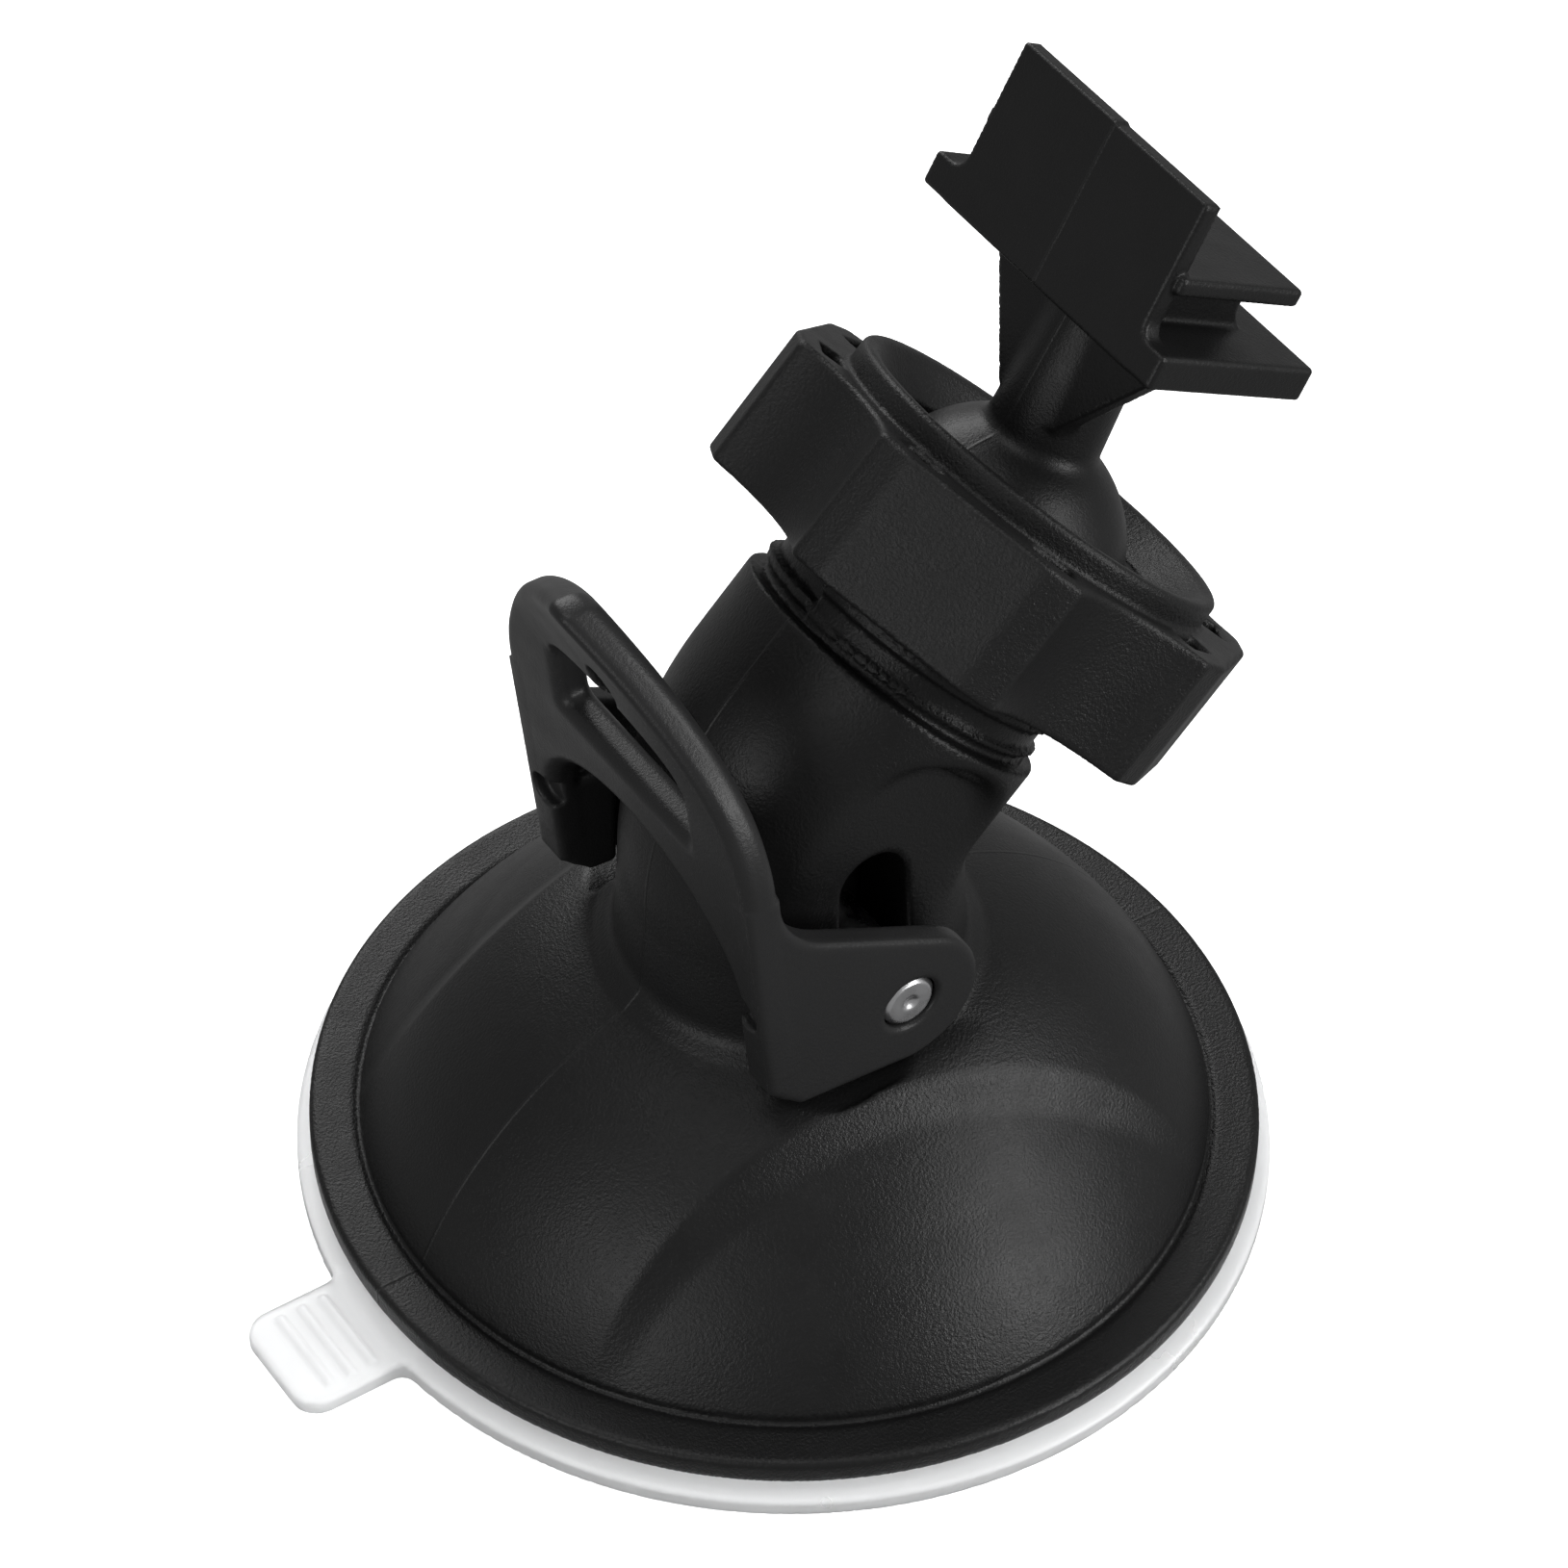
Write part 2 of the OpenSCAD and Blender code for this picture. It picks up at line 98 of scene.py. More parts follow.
def box3(x, y, z, hx, hy, hz, r=0.0):
    """Block of half sizes hx, hy, hz with edges rounded by r."""
    qx, qy, qz = np.abs(x) - hx + r, np.abs(y) - hy + r, np.abs(z) - hz + r
    out = np.sqrt(np.maximum(qx, 0) ** 2 + np.maximum(qy, 0) ** 2 + np.maximum(qz, 0) ** 2)
    return out + np.minimum(np.maximum(qx, np.maximum(qy, qz)), 0) - r


def span(v, low, high):
    """Distance outside the slab low..high."""
    return np.abs(v - (low + high) / 2) - (high - low) / 2


def poly2(x, y, points):
    """Signed distance to a closed polygon."""
    d = np.full(np.shape(x), 1e9)
    inside = np.zeros(np.shape(x), bool)
    n = len(points)
    for i in range(n):
        ax, ay = points[i]
        bx, by = points[(i + 1) % n]
        ex, ey = bx - ax, by - ay
        wx, wy = x - ax, y - ay
        t = np.clip((wx * ex + wy * ey) / (ex * ex + ey * ey), 0, 1)
        d = np.minimum(d, (wx - ex * t) ** 2 + (wy - ey * t) ** 2)
        if ay != by:
            inside ^= ((ay > y) != (by > y)) & (x < ex * (y - ay) / ey + ax)
    d = np.sqrt(d)
    return np.where(inside, -d, d)


def extrude(flat, along, r):
    """Flat distance cut to a slab, with edges rounded by r."""
    qx, qy = flat + r, along + r
    return np.hypot(np.maximum(qx, 0), np.maximum(qy, 0)) + np.minimum(np.maximum(qx, qy), 0) - r


def tube_frame(x, y, z):
    """Across-the-lean, sideways and along-the-axis coordinates of the tilted tube."""
    c, s = math.cos(TUBE_TILT), math.sin(TUBE_TILT)
    w = z - ELBOW_Z
    return x * c - w * s, y, x * s + w * c


def head_frame(x, y, z):
    """Fore-and-aft, sideways and along-the-stem coordinates from the ball's centre."""
    c, s = math.cos(STEM_TILT), math.sin(STEM_TILT)
    u, w = x - BALL[0], z - BALL[2]
    return u * c - w * s, y, u * s + w * c


def sample(field, axes):
    """Field values on the grid of axes, worked out in slabs to save memory."""
    values = np.empty([len(a) for a in axes], np.float32)
    gy, gz = np.meshgrid(axes[1], axes[2], indexing="ij")
    slab = max(1, int(600000 / gy.size))
    for i in range(0, len(axes[0]), slab):
        xs = axes[0][i:i + slab]
        gx = np.broadcast_to(xs[:, None, None], (len(xs),) + gy.shape)
        values[i:i + slab] = field(gx, gy[None] + 0 * gx, gz[None] + 0 * gx)
    return values


def cell_points(values, where):
    """For each cell, the mean place of the surface's crossings with the cell's twelve edges."""
    total = np.zeros((len(where), 3))
    count = np.zeros(len(where))
    corners = [(a, b, c) for a in (0, 1) for b in (0, 1) for c in (0, 1)]
    for p in corners:
        for axis in range(3):
            if p[axis]:
                continue
            q = tuple(1 if k == axis else p[k] for k in range(3))
            va = values[where[:, 0] + p[0], where[:, 1] + p[1], where[:, 2] + p[2]]
            vb = values[where[:, 0] + q[0], where[:, 1] + q[1], where[:, 2] + q[2]]
            cross = (va < 0) != (vb < 0)
            t = np.where(cross, va / np.where(cross, va - vb, 1), 0)
            at = np.array(p, float)[None] + t[:, None] * (np.array(q) - np.array(p))[None]
            total += np.where(cross[:, None], at, 0)
            count += cross
    return where + total / count[:, None]


def quads(solid, ids, axis):
    """One quad for each grid edge along axis that leaves or enters the solid."""
    n = solid.shape
    a, b = [k for k in range(3) if k != axis]
    near = [slice(1, n[k] - 1) for k in range(3)]
    next_on = list(near)
    near[axis], next_on[axis] = slice(0, n[axis] - 1), slice(1, n[axis])
    first, second = solid[tuple(near)], solid[tuple(next_on)]
    spots = np.argwhere(first != second)
    outward = first[tuple(spots.T)]
    spots[:, a] += 1
    spots[:, b] += 1
    quad = []
    for da, db in ((-1, -1), (0, -1), (0, 0), (-1, 0)):
        cell = spots.copy()
        cell[:, a] += da
        cell[:, b] += db
        quad.append(ids[tuple(cell.T)])
    quad = np.stack(quad, 1)
    flip = outward if axis != 1 else ~outward
    return np.where(flip[:, None], quad, quad[:, ::-1])


def net(field, low, high, step):
    """Surface net of field over a box: quads whose corners are then pulled onto the surface."""
    low, high = np.array(low, float), np.array(high, float)
    n = np.ceil((high - low) / step).astype(int) + 1
    values = sample(field, [low[i] + step * np.arange(n[i]) for i in range(3)])
    solid = values < 0
    cells = np.zeros(n - 1, np.uint8)
    for dx in (0, 1):
        for dy in (0, 1):
            for dz in (0, 1):
                cells += solid[dx:n[0] - 1 + dx, dy:n[1] - 1 + dy, dz:n[2] - 1 + dz]
    active = (cells > 0) & (cells < 8)
    where = np.argwhere(active)
    ids = np.full(active.shape, -1, np.int64)
    ids[active] = np.arange(len(where))
    verts = low + step * cell_points(values, where)
    for _ in range(4):
        verts = pull(field, verts, step)
    return verts, np.concatenate([quads(solid, ids, axis) for axis in range(3)])


def pull(field, verts, step):
    """One damped Newton step that moves points onto the zero surface."""
    h = 0.02
    least_slope, longest, damping = 0.5, 0.4 * step, 0.9
    x, y, z = verts.T
    d = field(x, y, z)
    g = np.stack([field(x + h, y, z) - field(x - h, y, z), field(x, y + h, z) - field(x, y - h, z),
                  field(x, y, z + h) - field(x, y, z - h)], 1) / (2 * h)
    move = -(d / np.maximum(np.sum(g * g, 1), least_slope ** 2))[:, None] * g
    reach = np.linalg.norm(move, axis=1)
    return verts + move * np.minimum(1, longest / np.maximum(reach, 1e-9))[:, None] * damping


def piece(name, verts, faces, body, nodes, slot_name, material):
    """Smooth mesh, from corners in mm, that rides on a body and stands for CAD nodes."""
    mesh = bpy.data.meshes.new(name)
    mesh.vertices.add(len(verts))
    mesh.vertices.foreach_set("co", (np.asarray(verts) * MM).astype(np.float32).ravel())
    mesh.loops.add(faces.size)
    mesh.loops.foreach_set("vertex_index", faces.astype(np.int32).ravel())
    mesh.polygons.add(len(faces))
    mesh.polygons.foreach_set("loop_start", np.arange(0, faces.size, faces.shape[1], dtype=np.int32))
    mesh.update(calc_edges=True)
    mesh.validate()
    mesh.polygons.foreach_set("use_smooth", np.ones(len(mesh.polygons), bool))
    mesh.materials.append(material)
    obj = bpy.data.objects.new(name, mesh)
    bpy.context.scene.collection.objects.link(obj)
    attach(obj, body)
    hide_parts(*nodes)
    return obj


# ---------------------------------------------------------------- housing
RIM_R, RIM_INNER, RIM_LOW, RIM_TOP = 33.0, 27.6, 2.15, 4.08
CREASE_R, FOOT_R, FOOT_LOW = 29.62, 28, 1.35
DOME_OFF, DOME_Z, DOME_R, DOME_WALL = 3.5, -6.2, 28.1, 2.8
PLINTH_R, PLINTH_LOW, PLINTH_TOP = 13.1, 12, 20.6
BAND_HALF, BAND_SLOPE, BAND_Z = 15.2, 0.215, 19.3
CHEEK_TURN, CHEEK_DEPTH = math.radians(8.3), 1.15
NECK_R, BEND_R = 11.6, 12.0
TILT_START = BEND_R * math.tan(TUBE_TILT / 2)
BEND_Z = ELBOW_Z - TILT_START
SCOOP_Y, SCOOP_R = 9.35, 6.6
WELL_X, WELL_Z, WELL_R = -4.3, 18.9, 14.0
WELL_Y, WELL_HALF_W, WELL_TOP = 12.5, 2.1, 22.5
SEAT_R, SEAT_LOW = 9, 14.95
BORE_R, BORE_TOP = 5.1, 36.3
SLOT_HALF, SLOT_LOW, SLOT_ROUND_Z = 2.5, 21.2, 32.9
PAD_WELL_R, PAD_WELL_LOW = 6.4, 10.55
SLIT_HALF, SLIT_DEPTH = 1.3, 5


def dome_field(x, y, z, arc):
    """Dome with a sloping step down to each side cheek, fading out at the rim, on its plinth."""
    across = -x * math.sin(CHEEK_TURN) + np.abs(y) * math.cos(CHEEK_TURN)
    q = across - BAND_HALF - BAND_SLOPE * (BAND_Z - z)
    drop = smin(smax(q / 1.3, 0.0, 0.16), 1.0, 0.3)
    dome = arc - DOME_R + CHEEK_DEPTH * drop * np.clip((z - 3.8) / 9, 0, 1)
    plinth = extrude(np.hypot(x, y) - PLINTH_R, span(z, PLINTH_LOW, PLINTH_TOP), 0.8)
    return smin(dome, plinth, 0.5)


def neck_field(x, y, z, u, v, s):
    """Upright neck, bend and tilted tube around one centre line."""
    upright = np.hypot(x, y) - (NECK_R + 0.4 * np.clip((27 - z) / 7, 0, 1))
    bend = np.hypot(np.hypot(x - BEND_R, z - BEND_Z) - BEND_R, y) - NECK_R
    tilted = np.hypot(u, v) - NECK_R
    neck = np.where(z < BEND_Z, upright, np.where(s > TILT_START, tilted, bend))
    neck = smax(neck, s - TUBE_END, 0.3)
    return np.where(z < 10, 20.0, neck)


def flank_field(x, y, z, u, s):
    """What is hollowed out of both flanks of the bend, beside the ears."""
    outline = np.minimum(box2(x + 0.5, z - 27.5, SCOOP_R, 7.5), np.hypot(x + 0.5, z - ELBOW_Z) - SCOOP_R)
    outline = np.minimum(outline, box2(u + 0.3, s - 1.7, SCOOP_R, 1.7))
    outline = np.minimum(outline, np.hypot(u + 0.3, s - 3.0) - SCOOP_R)
    dish = SCOOP_Y - np.abs(y) + 0.012 * (u + 3) ** 2
    flank = smax(outline, dish, 1.6)
    return smax(flank, WELL_Z + 1.2 - z, 0.3)


def rim_field(r, z, d):
    """Rim joined to d, with a crease against the dome and a foot ring on the membrane."""
    rim = np.abs(r - (RIM_R + RIM_INNER) / 2) - (RIM_R - RIM_INNER) / 2
    d = smin(d, extrude(rim, span(z, RIM_LOW, RIM_TOP), 0.4), 0.2)
    crease = np.hypot(r - CREASE_R, z - RIM_TOP - 0.12) - 0.3
    d = smax(d, -crease, 0.1)
    foot = extrude(np.abs(r - FOOT_R) - 0.6, span(z, FOOT_LOW, 3), 0.1)
    return np.minimum(d, foot)


def collet_field(u, v, s):
    """Threaded collet: one bold turn shows under the nut, and the jaws' tips taper."""
    pitch, root, crest_h, half_w = 2.6, 10.45, 0.62, 0.62
    turn = np.arctan2(v, u) / (2 * math.pi)
    wave = np.abs(((s - 12.95) / pitch - 0.35 * turn) % 1 - 0.5) * pitch
    crest = crest_h * np.clip((half_w - wave) / 0.25, 0, 1) - 0.2 * np.clip((0.12 - wave) / 0.1, 0, 1)
    crest = crest * np.clip((s - 11.5) / 0.3, 0, 1)
    r = np.hypot(u, v)
    collet = smax(r - root - crest, span(s, TUBE_END - 2, COLLET_TOP), 0.25)
    return smax(collet, (r - 10.9 + (s - COLLET_TOP + 2.4) * 0.2) * 0.95, 0.2)


def housing(x, y, z):
    r = np.hypot(x, y)
    u, v, s = tube_frame(x, y, z)
    arc = np.hypot(np.maximum(r - DOME_OFF, 0), z - DOME_Z)
    d = smin(dome_field(x, y, z, arc), neck_field(x, y, z, u, v, s), 1.6)
    d = smax(d, -flank_field(x, y, z, u, s), 1.1)
    d = rim_field(r, z, d)
    # wells for the heels of the cams
    well = np.hypot(x - WELL_X, z - WELL_Z - WELL_R) - WELL_R
    well = smax(well, np.abs(np.abs(y) - WELL_Y) - WELL_HALF_W, 0.3)
    well = np.maximum(well, z - WELL_TOP)
    d = smax(d, -well, 0.2)
    d = smin(d, collet_field(u, v, s), 0.12)
    # hollow dome and the spring's seat
    d = smax(d, DOME_R - DOME_WALL - arc, 0.3)
    d = np.minimum(d, extrude(r - SEAT_R, span(z, SEAT_LOW, 20), 0.1))
    # bore for the stud and slot for the pin
    bore = np.maximum(r - BORE_R, z - BORE_TOP)
    slot_h = (SLOT_ROUND_Z - SLOT_LOW) / 2
    slot = box2(x, z - SLOT_LOW - slot_h, SLOT_HALF, slot_h)
    slot = np.minimum(slot, np.hypot(x, z - SLOT_ROUND_Z) - SLOT_HALF)
    d = smax(d, -np.minimum(bore, slot), 0.3)
    # ball socket, well for the seat pad, slits between the jaws
    pad_well = np.maximum(np.hypot(u, v) - PAD_WELL_R, span(s, PAD_WELL_LOW, 16))
    socket = np.sqrt(u * u + v * v + (s - BALL_S) ** 2) - (BALL_R + 0.08)
    d = smax(d, -np.minimum(socket, pad_well), 0.2)
    slit = np.maximum(np.minimum(np.abs(u), np.abs(v)) - SLIT_HALF, BALL_S - SLIT_DEPTH - s)
    return smax(d, -slit, 0.15)


# ---------------------------------------------------------------- lock nut
LOBE_PHASE = math.radians(212)
LOBE_FACE, CHAMFER_FACE, CHAMFER_TURN = 17.61, 18.41, math.radians(21.55)
FLUTE_R, FLUTE_CENTRE = 10.57, 26.07
LIP_R, MOUTH_R, THROAT_R, THREAD_R, THROAT_S = 14.34, 13.3, 10.95, 11.4, 24.6
POCKET_TURN, POCKET_R = math.radians(19.5), 15.65


def nut(x, y, z):
    u, v, s = tube_frame(x, y, z)
    r = np.hypot(u, v)
    c, k = math.cos(LOBE_PHASE), math.sin(LOBE_PHASE)
    p, q = u * c + v * k, -u * k + v * c
    # fold all eight half lobes into one, with the lobe's middle along a
    a, b = np.maximum(np.abs(p), np.abs(q)), np.minimum(np.abs(p), np.abs(q))
    chamfer = a * math.cos(CHAMFER_TURN) + b * math.sin(CHAMFER_TURN) - CHAMFER_FACE
    flat = smax(a - LOBE_FACE, chamfer, 0.16)
    m = FLUTE_CENTRE * math.cos(math.radians(45))
    flat = smax(flat, FLUTE_R - np.hypot(a - m, b - m), 0.3)
    body = extrude(flat, span(s, NUT_LOW, NUT_TOP), 0.32)
    lip = extrude(r - LIP_R, span(s, NUT_LOW, LIP_TOP), 0.4)
    d = smin(body, lip, 0.25)
    # small pockets at both ends of each lobe, against the lip
    w = POCKET_TURN
    pa, pb = a * math.cos(w) + b * math.sin(w), -a * math.sin(w) + b * math.cos(w)
    pocket = box2(pa - POCKET_R, pb, 0.85, 1.5, 0.3)
    pocket = extrude(pocket, span(s, NUT_TOP - 2.4, NUT_TOP + 2), 0.1)
    d = smax(d, -pocket, 0.25)
    # threaded bore, cone on the jaws, and funnel
    funnel = r - THROAT_R - (s - THROAT_S) * (MOUTH_R - THROAT_R) / (LIP_TOP - THROAT_S)
    cone = r - (THREAD_R - np.clip((s - 22.3) / 2.3, 0, 1) * (THREAD_R - THROAT_R))
    return smax(d, -np.where(s < THROAT_S, cone, funnel * 0.72), 0.3)


# ---------------------------------------------------------------- rail head
STEM_R, STEM_TOP = 3.95, 20
PLATE_U, PLATE_W, PLATE_HALF, PLATE_STEP = -7.1, 25.65, (0.75, 9.6, 5.55), 0.06
# middle (fore and aft, along the stem), half sizes and edge radius of each block
FLANGE = (-0.75, 20.5), (7.1, 12.15, 1.2), 0.3
WEB = (-2.4, 23.3), (5.4, 7.6, 2.4), 0.2
CAP = (-1.6, 25.6), (5.55, 10.3, 0.62), 0.28
HOOK = (3.3, 24.8), (0.4, 8.6, 0.5), 0.2
GUSSET = [(0, 10.2), (3.0, 10.4), (9.9, 19.7), (0, 19.7)]


def block(u, v, w, middle, half, r):
    """Rounded block in the head's own coordinates."""
    return box3(u - middle[0], v, w - middle[1], *half, r)


def head(x, y, z):
    u, v, w = head_frame(x, y, z)
    ball = np.sqrt(u * u + v * v + w * w) - BALL_R
    stem = extrude(np.hypot(u, v) - (STEM_R - 0.05 * (w - 9)), span(w, 5, STEM_TOP), 0.1)
    d = smin(ball, stem, 0.7)
    gusset = extrude(poly2(np.abs(v), w, GUSSET), np.abs(u + 2.2) - 0.75, 0.2)
    d = smin(d, gusset, 0.45)
    flange = block(u, v, w, *FLANGE)
    d = smin(d, flange, 0.4)
    # stop plate: its two halves meet in a hair-thin step on the parting line
    plate = box3(u - PLATE_U, v, w - PLATE_W - PLATE_STEP * np.sign(v), *PLATE_HALF, 0.22)
    front_face = np.abs(u - PLATE_U) - PLATE_HALF[0]
    d = np.minimum(d, smax(smin(plate, flange, 1.3), front_face, 0.2))
    # web with a hollowed far end, cap, and the cap's small hook; the plate's front stays flat
    web = block(u, v, w, *WEB)
    web = smax(web, 1.7 - np.hypot(u - 4.0, w - 23.4), 0.3)
    d = np.where(u < -6.3, d, smin(d, web, 0.4))
    cap = block(u, v, w, *CAP)
    d = np.where(u < -6.9, np.minimum(d, cap), smin(d, cap, 0.3))
    return smin(d, block(u, v, w, *HOOK), 0.25)


# ---------------------------------------------------------------- cam lever
LEAN, FRONT_X, FRONT_Z = 0.125, -12.4, 34.7
FLARE, FLARE_Z = 0.019, 46
HALF_T = 1.33
LEVER_HALF, LEG_INNER, LEG_LOW = 14.25, 11.2, 24.6
SHOULDER_Z, TIP_H = 42, 17.6
TIP_FROM, TIP_Z, TIP_R = 58.0, 55.4, 3.75
ARCH_Z, ARCH_H = 30, 8.3
WINDOW_HALF, WINDOW_LOW, WINDOW_TOP, WINDOW_RISE = 7.5, 42.5, 47.2, 2.0
EAR_R, EAR_INNER = 5.32, 12.32
EAR = [(-9.95, 22.35), (-8.6, 21.12), (0, PIN_Z - EAR_R), (2.4, PIN_Z + 4.75), (-6.9, 35.4),
       (-10.6, 37.6), (-12.2, 37.6), (-11.6, 30), (-11.12, 24.4)]
# sideways place, height and radius of the ejector-pin marks
EJECTOR_MARKS = ((0, 50.9, 1.5), (12.1, 29.9, 1.3))


def front_depth(x, z):
    """Depth behind the handle's front surface, which leans and flares towards the tip."""
    over = np.maximum(0, z - FLARE_Z)
    front = FRONT_X - LEAN * (z - FRONT_Z) - FLARE * over ** 2
    return (x - front) / np.hypot(1, LEAN + 2 * FLARE * over)


def handle_outline(y, z):
    """Straight legs and shoulders, parabolic tip, arch for the neck and window."""
    ay = np.abs(y)
    t = np.maximum(0, (z - SHOULDER_Z) / TIP_H)
    side = (ay - LEVER_HALF * (1 - t * t)) / np.hypot(1, 2 * LEVER_HALF * t / TIP_H)
    tip = np.hypot(y, z - TIP_Z) - TIP_R
    side = np.where(z > TIP_FROM, np.maximum(side, tip), side)
    arch = np.hypot(y, (z - ARCH_Z) * LEG_INNER / ARCH_H) - LEG_INNER
    arch = np.where(z < ARCH_Z, ay - LEG_INNER, arch * 0.8)
    flat = smax(np.maximum(side, LEG_LOW - z), -arch, 0.3)
    top = WINDOW_TOP + WINDOW_RISE * np.sqrt(np.clip(1 - (y / 7.6) ** 2, 0, 1))
    window = smax(ay - WINDOW_HALF, np.maximum(WINDOW_LOW - z, (z - top) * 0.9), 0.9)
    return smax(flat, -window, 0.4)


def ear_outline(x, z, depth):
    """Side view of an ear, in one fair curve with the handle."""
    ear = np.minimum(poly2(x, z, EAR), np.hypot(x, z - PIN_Z) - EAR_R)
    strip = np.maximum(np.abs(depth - HALF_T) - (HALF_T - 0.02), 24 - z)
    profile = smin(ear, strip, 2.6)
    return np.maximum(profile, np.maximum(z - 41.5, 0.02 - depth))


def lever(x, y, z):
    ay = np.abs(y)
    depth = front_depth(x, z)
    plate = extrude(handle_outline(y, z), np.abs(depth - HALF_T) - HALF_T, 1.0)
    # thin ears, with heels as wide as the handle's legs
    profile = ear_outline(x, z, depth)
    ear = extrude(profile, span(ay, EAR_INNER, LEVER_HALF), 0.45)
    heel = smax(profile, smax(x + 6.5, z - 30, 1.0), 0.5)
    heel = extrude(heel, span(ay, LEG_INNER + 0.02, LEVER_HALF), 0.45)
    d = smin(plate, np.minimum(ear, heel), 0.12)
    hole = np.hypot(x, z - PIN_Z) - (PIN_R + 0.1)
    d = smax(d, -hole, 0.25)
    for mark_y, mark_z, mark_r in EJECTOR_MARKS:
        dimple = np.maximum(np.hypot(ay - mark_y, z - mark_z) - mark_r, depth - 0.95)
        d = smax(d, -dimple, 0.15)
    return d


# ---------------------------------------------------------------- membrane
MEMBRANE_R, MEMBRANE_T = 33.95, 1.3
TAB_X, TAB_HALF_L, TAB_HALF_W = -35.4, 5.9, 4.5
RIB_X, RIB_PITCH, RIB_HALF_L = -38.7, 1.65, 3.5
RIB_Z, RIB_R, RIB_TOP = 1.28, 0.34, 1.62


def membrane(x, y, z):
    disc = extrude(np.hypot(x, y) - MEMBRANE_R, span(z, 0, MEMBRANE_T), 0.25)
    tab = box2(x - TAB_X, y, TAB_HALF_L, TAB_HALF_W, 2.0)
    d = smin(disc, extrude(tab, span(z, 0, MEMBRANE_T), 0.25), 0.9)
    for i in range(3):
        rib = np.hypot(x - RIB_X - i * RIB_PITCH, z - RIB_Z) - RIB_R
        d = smin(d, np.maximum(rib, np.abs(y) - RIB_HALF_L), 0.25)
    return smax(smax(d, -z, 0.1), z - RIB_TOP, 0.05)


# ---------------------------------------------------------------- pivot pin
COS_45 = 0.7071
EDGE_BREAK = 0.35


def pin(x, y, z):
    """Pin with broken edges and a turned centre in each end."""
    r = np.hypot(x, z - PIN_Z)
    body, ends = r - PIN_R, np.abs(y) - PIN_Y
    d = np.maximum(body, ends)
    d = np.maximum(d, (body + ends + EDGE_BREAK) * COS_45)
    centre = np.hypot(r, PIN_Y + 0.5 - np.abs(y)) - 0.75
    return smax(d, -centre, 0.1)


# ---------------------------------------------------------------- materials
def new_material(name):
    m = bpy.data.materials.new(name)
    m.use_nodes = True
    nt = m.node_tree
    return m, nt, nt.nodes["Principled BSDF"]


def noise(nt, coords, scale, detail, rough=0.5):
    n = nt.nodes.new("ShaderNodeTexNoise")
    n.inputs["Scale"].default_value = scale
    n.inputs["Detail"].default_value = detail
    n.inputs["Roughness"].default_value = rough
    nt.links.new(coords, n.inputs["Vector"])
    return n


def ramp(nt, source, low, high, a, b):
    n = nt.nodes.new("ShaderNodeMapRange")
    n.inputs["From Min"].default_value = low
    n.inputs["From Max"].default_value = high
    n.inputs["To Min"].default_value = a
    n.inputs["To Max"].default_value = b
    nt.links.new(source, n.inputs["Value"])
    return n


def bump(nt, height, strength, distance, before=None):
    n = nt.nodes.new("ShaderNodeBump")
    n.inputs["Strength"].default_value = strength
    n.inputs["Distance"].default_value = distance
    nt.links.new(height, n.inputs["Height"])
    if before is not None:
        nt.links.new(before, n.inputs["Normal"])
    return n


def black_plastic(name, base, rough, grain, seam=None):
    """Moulded black plastic: fine grain, slow waviness and an optional parting line where y = 0."""
    m, nt, p = new_material(name)
    tex = nt.nodes.new("ShaderNodeTexCoord")
    coords = tex.outputs["Object"]
    p.inputs["Specular IOR Level"].default_value = 0.26
    tone = noise(nt, coords, 90, 3)
    mix = nt.nodes.new("ShaderNodeMix")
    mix.data_type = "RGBA"
    mix.inputs["A"].default_value = (base * 0.85, base * 0.85, base * 0.87, 1)
    mix.inputs["B"].default_value = (base * 1.2, base * 1.2, base * 1.21, 1)
    nt.links.new(tone.outputs["Fac"], mix.inputs["Factor"])
    nt.links.new(mix.outputs["Result"], p.inputs["Base Color"])
    patch = noise(nt, coords, 260, 4, 0.6)
    r = ramp(nt, patch.outputs["Fac"], 0.3, 0.7, rough - 0.05, rough + 0.05)
    nt.links.new(r.outputs["Result"], p.inputs["Roughness"])
    fine = noise(nt, coords, 4400, 2, 0.7)
    wave = noise(nt, coords, 120, 1)
    b = bump(nt, wave.outputs["Fac"], 0.06, 0.0006)
    b = bump(nt, fine.outputs["Fac"], grain, 0.0001, b.outputs["Normal"])
    if seam:
        xyz = nt.nodes.new("ShaderNodeSeparateXYZ")
        nt.links.new(coords, xyz.inputs["Vector"])
        size = nt.nodes.new("ShaderNodeMath")
        size.operation = "ABSOLUTE"
        nt.links.new(xyz.outputs["Y"], size.inputs[0])
        ridge = ramp(nt, size.outputs["Value"], 0.00002, 0.00016, 1, 0)
        b = bump(nt, ridge.outputs["Result"], seam, 0.0001, b.outputs["Normal"])
    nt.links.new(b.outputs["Normal"], p.inputs["Normal"])
    return m


housing_mat = black_plastic("housing_plastic", 0.0062, 0.38, 0.60, 0.6)
lever_mat = black_plastic("lever_plastic", 0.0150, 0.38, 0.30)
nut_mat = black_plastic("nut_plastic", 0.0060, 0.42, 0.80)
head_mat = black_plastic("head_plastic", 0.0062, 0.40, 0.40, 0.4)
stud_mat = black_plastic("stud_plastic", 0.03, 0.5, 0.2)
pad_mat = black_plastic("pad_rubber", 0.04, 0.75, 0.3)


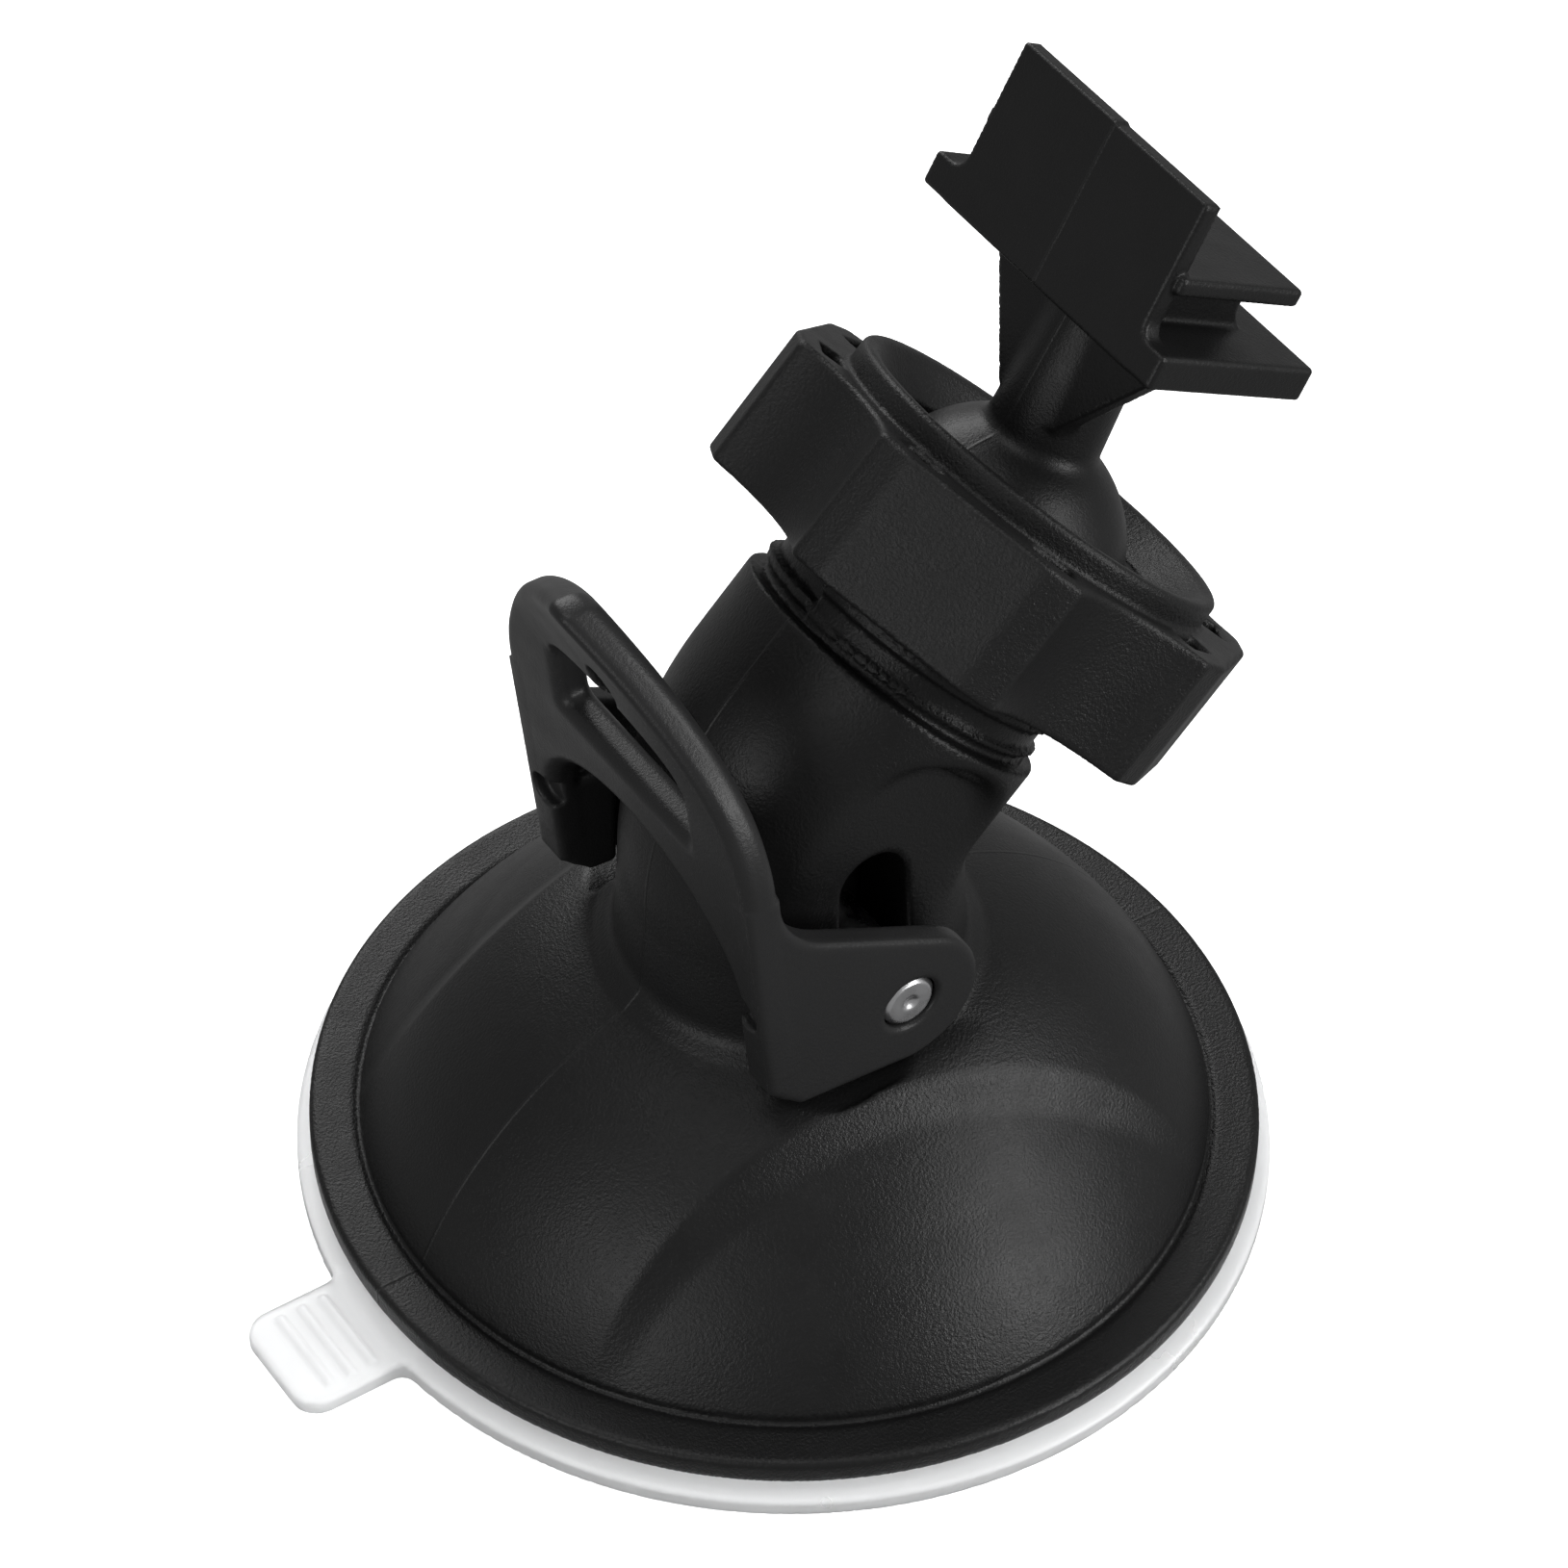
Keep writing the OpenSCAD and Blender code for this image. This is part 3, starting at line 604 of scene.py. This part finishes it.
def membrane_material():
    m, nt, p = new_material("clear_membrane")
    tex = nt.nodes.new("ShaderNodeTexCoord")
    p.inputs["Base Color"].default_value = (0.97, 0.975, 0.98, 1)
    p.inputs["Transmission Weight"].default_value = 0.6
    p.inputs["IOR"].default_value = 1.45
    cloud = noise(nt, tex.outputs["Object"], 120, 3)
    r = ramp(nt, cloud.outputs["Fac"], 0.3, 0.7, 0.25, 0.4)
    nt.links.new(r.outputs["Result"], p.inputs["Roughness"])
    b = bump(nt, cloud.outputs["Fac"], 0.1, 0.0004)
    nt.links.new(b.outputs["Normal"], p.inputs["Normal"])
    return m


def steel_material(name, rough):
    m, nt, p = new_material(name)
    tex = nt.nodes.new("ShaderNodeTexCoord")
    p.inputs["Metallic"].default_value = 1
    p.inputs["Base Color"].default_value = (0.62, 0.62, 0.63, 1)
    turned = noise(nt, tex.outputs["Object"], 900, 2)
    r = ramp(nt, turned.outputs["Fac"], 0.3, 0.7, rough - 0.08, rough + 0.1)
    nt.links.new(r.outputs["Result"], p.inputs["Roughness"])
    b = bump(nt, turned.outputs["Fac"], 0.08, 0.0001)
    nt.links.new(b.outputs["Normal"], p.inputs["Normal"])
    return m


clear_mat = membrane_material()
pin_mat = steel_material("pin_steel", 0.3)
spring_mat = steel_material("spring_steel", 0.35)

# ---------------------------------------------------------------- return spring
def spring_tube(low, high):
    """Round wire along a helix whose end turns lie flat, between two corners in metres."""
    turns, ground, steps, sides, wire = 5, 0.75, 48, 12, 0.5
    rings = turns * steps
    coil = high.x / MM - wire
    along = np.linspace(0, turns, rings + 1)
    rise = np.clip((along - ground) / (turns - 2 * ground), 0, 1)
    height = low.z / MM + wire + rise * ((high.z - low.z) / MM - 2 * wire)
    a = 2 * math.pi * along[:, None]
    b = 2 * math.pi * np.arange(sides)[None, :] / sides
    r = coil + wire * np.cos(b)
    verts = np.stack([r * np.cos(a), r * np.sin(a), height[:, None] + wire * np.sin(b)], 2)
    i, k = np.meshgrid(np.arange(rings), np.arange(sides), indexing="ij")
    n = (k + 1) % sides
    walls = np.stack([i * sides + k, (i + 1) * sides + k, (i + 1) * sides + n, i * sides + n], -1)
    cap = np.array([[j, j + 1, sides - 2 - j, sides - 1 - j] for j in range(sides // 2 - 1)])
    faces = np.concatenate([walls.reshape(-1, 4), cap, cap[:, ::-1] + rings * sides])
    return verts.reshape(-1, 3), faces


# ---------------------------------------------------------------- pieces
# piece name, field, box to mesh, cell size, body, CAD nodes, material slot, material
SKINS = [
    ("housing_shell", housing, (-34, -34, 0.6), (34, 34, 59), 0.34,
     "base", ["base_housing"], "housing_plastic", housing_mat),
    ("nut_shell", nut, (-6, -19.5, 28), (38, 19.5, 70), 0.27,
     "nut", ["lock_nut"], "nut_plastic", nut_mat),
    ("head_shell", head, (4, -13, 38), (42, 13, 82), 0.24,
     "head", ["rail_head"], "head_plastic", head_mat),
    ("lever_shell", lever, (-21, -15, 19), (7, 15, 61), 0.24,
     "lever", ["cam_lever"], "lever_plastic", lever_mat),
    ("membrane_skin", membrane, (-42.2, -35, -0.7), (35, 35, 2.4), 0.3,
     "base", ["suction_membrane"], "clear_membrane", clear_mat),
    ("pin_rod", pin, (-2.4, -15, PIN_Z - 2.4), (2.4, 15, PIN_Z + 2.4), 0.13,
     "stud", ["pivot_pin"], "pin_steel", pin_mat),
]
coarse = 1.0
for name, field, low, high, cell, body, nodes, slot_name, material in SKINS:
    piece(name, *net(field, low, high, cell * coarse), body, nodes, slot_name, material)

# the return spring is squeezed against its seat as the lever lifts the stud; here it is a wire helix on
# the base, with a mesh of its own
spring_low, spring_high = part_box("return_spring")
spring = piece("spring_wire", *spring_tube(spring_low, spring_high),
               "base", ["return_spring"], "spring_steel", spring_mat)
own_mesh(spring)

for node_name, material in (("pull_stud", stud_mat), ("ball_seat_pad", pad_mat)):
    obj = frame["nodes"][node_name]
    obj.data.materials.clear()
    obj.data.materials.append(material)

# ---------------------------------------------------------------- stage
floor_mesh = bpy.data.meshes.new("floor")
reach, floor_z = 3.0, -0.0002
floor_corners = [(sx * reach, sy * reach, floor_z) for sx, sy in ((-1, -1), (1, -1), (1, 1), (-1, 1))]
floor_mesh.from_pydata(floor_corners, [], [(0, 1, 2, 3)])
floor = bpy.data.objects.new("floor", floor_mesh)
bpy.context.scene.collection.objects.link(floor)
floor_mat, _, floor_p = new_material("floor")
floor_p.inputs["Base Color"].default_value = (0.9, 0.9, 0.9, 1)
floor_p.inputs["Roughness"].default_value = 0.9
floor_p.inputs["Emission Color"].default_value = (1, 1, 1, 1)
floor_p.inputs["Emission Strength"].default_value = 0.8
floor_mesh.materials.append(floor_mat)
# the floor is white to the camera, but doesn't light the black plastic from below
floor.visible_glossy = False
floor.visible_diffuse = False

world = bpy.data.worlds.new("world")
bpy.context.scene.world = world
world.use_nodes = True
background = world.node_tree.nodes["Background"]
background.inputs["Color"].default_value = (1, 1, 1, 1)
background.inputs["Strength"].default_value = 0.3


def area_light(name, direction, distance, size, power):
    """Round soft light that faces the object's middle from a direction."""
    data = bpy.data.lights.new(name, "AREA")
    data.shape = "DISK"
    data.size = size
    data.energy = power
    obj = bpy.data.objects.new(name, data)
    bpy.context.scene.collection.objects.link(obj)
    d = Vector(direction).normalized()
    obj.location = Vector((0.005, 0, 0.03)) + d * distance
    obj.rotation_euler = d.to_track_quat("Z", "Y").to_euler()


area_light("key", (0.45, -0.85, 0.26), 0.9, 0.36, 4.2)
area_light("side", (0.75, -0.55, 0.75), 0.9, 0.40, 3.0)
area_light("left", (-0.95, -0.25, 0.36), 0.9, 0.60, 2.6)
area_light("back", (0.3, 0.8, 0.5), 1.0, 0.60, 4.0)
area_light("top", (-0.15, 0.1, 0.96), 0.9, 0.50, 1.6)

# ---------------------------------------------------------------- camera
AZ, EL, ROLL = math.radians(-34.86), math.radians(44.95), math.radians(1.47)
DISTANCE = 0.4
target = Vector((6.78, 10.78, 21.50)) * MM
toward = Vector((math.sin(AZ) * math.cos(EL), -math.cos(AZ) * math.cos(EL), math.sin(EL)))
right = Vector((math.cos(AZ), math.sin(AZ), 0))
up = toward.cross(right)
right_rolled = math.cos(ROLL) * right + math.sin(ROLL) * up
up_rolled = -math.sin(ROLL) * right + math.cos(ROLL) * up
camera_data = bpy.data.cameras.new("camera")
camera_data.sensor_width = 36
camera_data.lens = 133.2
camera_data.clip_start = 0.01
camera = bpy.data.objects.new("camera", camera_data)
bpy.context.scene.collection.objects.link(camera)
place = target + DISTANCE * toward
rows = [[right_rolled[i], up_rolled[i], toward[i], place[i]] for i in range(3)]
camera.matrix_world = Matrix(rows + [[0, 0, 0, 1]])
bpy.context.scene.camera = camera
bpy.context.scene.view_settings.view_transform = "Standard"
